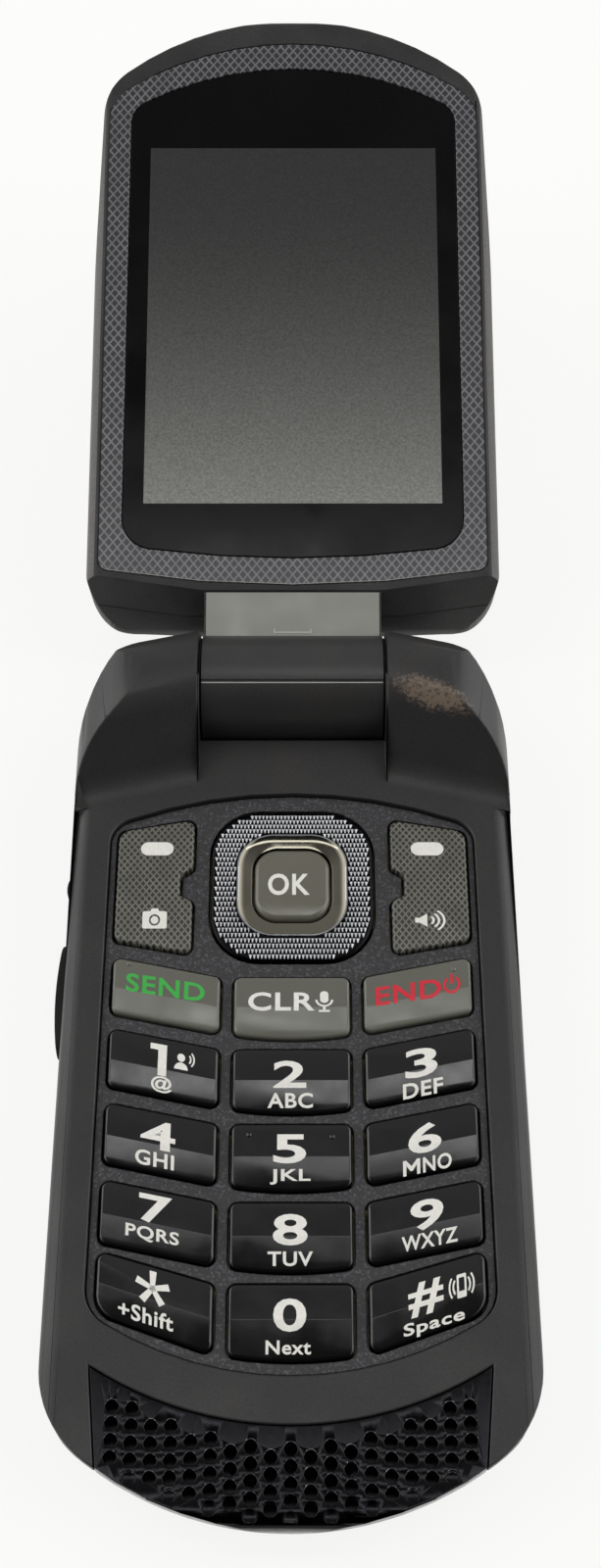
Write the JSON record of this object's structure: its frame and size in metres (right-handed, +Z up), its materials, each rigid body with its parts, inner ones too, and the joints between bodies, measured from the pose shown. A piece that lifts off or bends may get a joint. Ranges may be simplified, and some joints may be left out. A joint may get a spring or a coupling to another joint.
{
  "type": "flip phone",
  "caption": "Rugged clamshell flip phone lying open: keypad base with navigation ring and perforated speaker grille, hinged lid with display, and a removable battery cover.",
  "frame": {"origin": "Middle of the base's back face, at half the base's length and width, where it lies on a table.", "axes": "+X to the right of someone looking at the keypad with the hinge away from them, +Y from the chin towards the hinge and the lid, +Z up out of the keypad."},
  "size_m": [0.0518, 0.1846, 0.037],
  "materials": {
    "housing": "soft-touch paint on moulded plastic, fine grain, slightly worn",
    "lid_shell": "soft-touch paint on moulded plastic, rubbed along the rim",
    "keypad_panel": "fine grained satin plastic",
    "grille": "smoked chrome plating on plastic",
    "number_keys": "gloss black moulded keys with light legends",
    "call_keys": "gloss mid grey moulded keys with light legends",
    "soft_keys": "dark grey with a fine cross pattern",
    "nav_ring": "silver plating with rows of fine zigzags",
    "side_rubber": "matte black elastomer",
    "bezel": "patterned film under a gloss coat",
    "dark_glass": "polished, black behind",
    "clear_glass": "polished, clear",
    "display": "display module, switched off",
    "steel": "bright",
    "contact_metal": "plated contact metal",
    "circuit_board": "green solder mask",
    "dome_film": "film with metal contacts",
    "flex_film": "amber film with copper tracks",
    "battery_case": "wrapped cell",
    "seal_rubber": "silicone seal",
    "inner_plastic": "moulded inner piece"
  },
  "bodies": {
    "base": {"front_housing": "housing", "rear_housing": "housing", "keypad_panel": "keypad_panel", "speaker_grille": "grille", "main_board": "circuit_board", "shield_can": "steel", "dome_sheet": "dome_film", "battery": "battery_case", "battery_contacts": "contact_metal", "battery_seal": "seal_rubber", "loudspeaker": "inner_plastic", "microphone": "steel", "vibration_motor": "steel", "headset_jack": "inner_plastic", "charger_socket": "steel", "antenna": "contact_metal", "base_screws": "steel", "hinge_cartridge": "steel", "hinge_pin": "steel"},
    "lid": {"lid_frame": "lid_shell", "lid_cover": "lid_shell", "screen_bezel": "bezel", "screen_glass": "dark_glass", "display_panel": "display", "lid_board": "circuit_board", "earpiece": "inner_plastic", "barrel_cover": "housing", "outer_display": "display", "outer_window": "dark_glass", "camera_module": "inner_plastic", "camera_window": "dark_glass", "flash_window": "clear_glass", "hinge_flex": "flex_film", "lid_screws": "steel"},
    "send_key_body": {"send_key": "call_keys"},
    "clear_key_body": {"clear_key": "call_keys"},
    "end_key_body": {"end_key": "call_keys"},
    "key_1_body": {"key_1": "number_keys"},
    "key_2_body": {"key_2": "number_keys"},
    "key_3_body": {"key_3": "number_keys"},
    "key_4_body": {"key_4": "number_keys"},
    "key_5_body": {"key_5": "number_keys"},
    "key_6_body": {"key_6": "number_keys"},
    "key_7_body": {"key_7": "number_keys"},
    "key_8_body": {"key_8": "number_keys"},
    "key_9_body": {"key_9": "number_keys"},
    "key_star_body": {"key_star": "number_keys"},
    "key_0_body": {"key_0": "number_keys"},
    "key_hash_body": {"key_hash": "number_keys"},
    "ok_key_body": {"ok_key": "call_keys"},
    "soft_key_left_body": {"soft_key_left": "soft_keys"},
    "soft_key_right_body": {"soft_key_right": "soft_keys"},
    "nav_actuator_body": {"nav_actuator": "inner_plastic"},
    "nav_key_body": {"nav_key": "nav_ring"},
    "volume_key_body": {"volume_key": "side_rubber"},
    "jack_cover_body": {"jack_cover": "side_rubber"},
    "charger_cover_body": {"charger_cover": "side_rubber"},
    "battery_cover_body": {"battery_cover": "housing"},
    "cover_lock_body": {"cover_lock": "steel"}
  },
  "joints": [
    {"name": "lid_hinge", "type": "hinge", "parent": "base", "child": "lid", "pos_m": [0, 0.04385, 0.0119], "axis": [1, 0, 0], "range_deg": [0, 164]},
    {"name": "send_key_press", "type": "slide", "parent": "base", "child": "send_key_body", "axis": [0, 0, -1], "range_m": [0, 0.0004], "stiffness_N_per_m": 200, "springref_m": -0.001},
    {"name": "clear_key_press", "type": "slide", "parent": "base", "child": "clear_key_body", "axis": [0, 0, -1], "range_m": [0, 0.0004], "stiffness_N_per_m": 200, "springref_m": -0.001},
    {"name": "end_key_press", "type": "slide", "parent": "base", "child": "end_key_body", "axis": [0, 0, -1], "range_m": [0, 0.0004], "stiffness_N_per_m": 200, "springref_m": -0.001},
    {"name": "key_1_press", "type": "slide", "parent": "base", "child": "key_1_body", "axis": [0, 0, -1], "range_m": [0, 0.0004], "stiffness_N_per_m": 200, "springref_m": -0.001},
    {"name": "key_2_press", "type": "slide", "parent": "base", "child": "key_2_body", "axis": [0, 0, -1], "range_m": [0, 0.0004], "stiffness_N_per_m": 200, "springref_m": -0.001},
    {"name": "key_3_press", "type": "slide", "parent": "base", "child": "key_3_body", "axis": [0, 0, -1], "range_m": [0, 0.0004], "stiffness_N_per_m": 200, "springref_m": -0.001},
    {"name": "key_4_press", "type": "slide", "parent": "base", "child": "key_4_body", "axis": [0, 0, -1], "range_m": [0, 0.0004], "stiffness_N_per_m": 200, "springref_m": -0.001},
    {"name": "key_5_press", "type": "slide", "parent": "base", "child": "key_5_body", "axis": [0, 0, -1], "range_m": [0, 0.0004], "stiffness_N_per_m": 200, "springref_m": -0.001},
    {"name": "key_6_press", "type": "slide", "parent": "base", "child": "key_6_body", "axis": [0, 0, -1], "range_m": [0, 0.0004], "stiffness_N_per_m": 200, "springref_m": -0.001},
    {"name": "key_7_press", "type": "slide", "parent": "base", "child": "key_7_body", "axis": [0, 0, -1], "range_m": [0, 0.0004], "stiffness_N_per_m": 200, "springref_m": -0.001},
    {"name": "key_8_press", "type": "slide", "parent": "base", "child": "key_8_body", "axis": [0, 0, -1], "range_m": [0, 0.0004], "stiffness_N_per_m": 200, "springref_m": -0.001},
    {"name": "key_9_press", "type": "slide", "parent": "base", "child": "key_9_body", "axis": [0, 0, -1], "range_m": [0, 0.0004], "stiffness_N_per_m": 200, "springref_m": -0.001},
    {"name": "key_star_press", "type": "slide", "parent": "base", "child": "key_star_body", "axis": [0, 0, -1], "range_m": [0, 0.0004], "stiffness_N_per_m": 200, "springref_m": -0.001},
    {"name": "key_0_press", "type": "slide", "parent": "base", "child": "key_0_body", "axis": [0, 0, -1], "range_m": [0, 0.0004], "stiffness_N_per_m": 200, "springref_m": -0.001},
    {"name": "key_hash_press", "type": "slide", "parent": "base", "child": "key_hash_body", "axis": [0, 0, -1], "range_m": [0, 0.0004], "stiffness_N_per_m": 200, "springref_m": -0.001},
    {"name": "ok_key_press", "type": "slide", "parent": "base", "child": "ok_key_body", "axis": [0, 0, -1], "range_m": [0, 0.0004], "stiffness_N_per_m": 200, "springref_m": -0.001},
    {"name": "soft_key_left_rock", "type": "hinge", "parent": "base", "child": "soft_key_left_body", "pos_m": [-0.0155, 0.0181, 0.00825], "axis": [1, 0, 0], "range_deg": [-1.5, 1.5], "stiffness_Nm_per_rad": 0.02},
    {"name": "soft_key_right_rock", "type": "hinge", "parent": "base", "child": "soft_key_right_body", "pos_m": [0.0155, 0.0181, 0.00825], "axis": [1, 0, 0], "range_deg": [-1.5, 1.5], "stiffness_Nm_per_rad": 0.02},
    {"name": "nav_side_rock", "type": "hinge", "parent": "base", "child": "nav_actuator_body", "pos_m": [0, 0.0181, 0.0076], "axis": [0, 1, 0], "range_deg": [-1.5, 1.5], "stiffness_Nm_per_rad": 0.02},
    {"name": "nav_key_rock", "type": "hinge", "parent": "nav_actuator_body", "child": "nav_key_body", "pos_m": [0, 0.0181, 0.00825], "axis": [1, 0, 0], "range_deg": [-1.5, 1.5], "stiffness_Nm_per_rad": 0.02},
    {"name": "volume_key_rock", "type": "hinge", "parent": "base", "child": "volume_key_body", "pos_m": [-0.0242, 0.00555, 0.0065], "axis": [0, 0, 1], "range_deg": [-1.5, 1.5], "stiffness_Nm_per_rad": 0.02},
    {"name": "jack_cover_swing", "type": "hinge", "parent": "base", "child": "jack_cover_body", "pos_m": [-0.0254, 0.03395, 0.0053], "axis": [0, 0, -1], "range_deg": [0, 100]},
    {"name": "charger_cover_swing", "type": "hinge", "parent": "base", "child": "charger_cover_body", "pos_m": [0.0254, 0.03395, 0.0053], "axis": [0, 0, 1], "range_deg": [0, 100]},
    {"name": "battery_cover_lift", "type": "slide", "parent": "base", "child": "battery_cover_body", "axis": [0, 0, -1], "range_m": [0, 0.02]},
    {"name": "cover_lock_turn", "type": "hinge", "parent": "battery_cover_body", "child": "cover_lock_body", "pos_m": [0, 0.02125, 0], "axis": [0, 0, 1], "range_deg": [0, 90]}
  ]
}
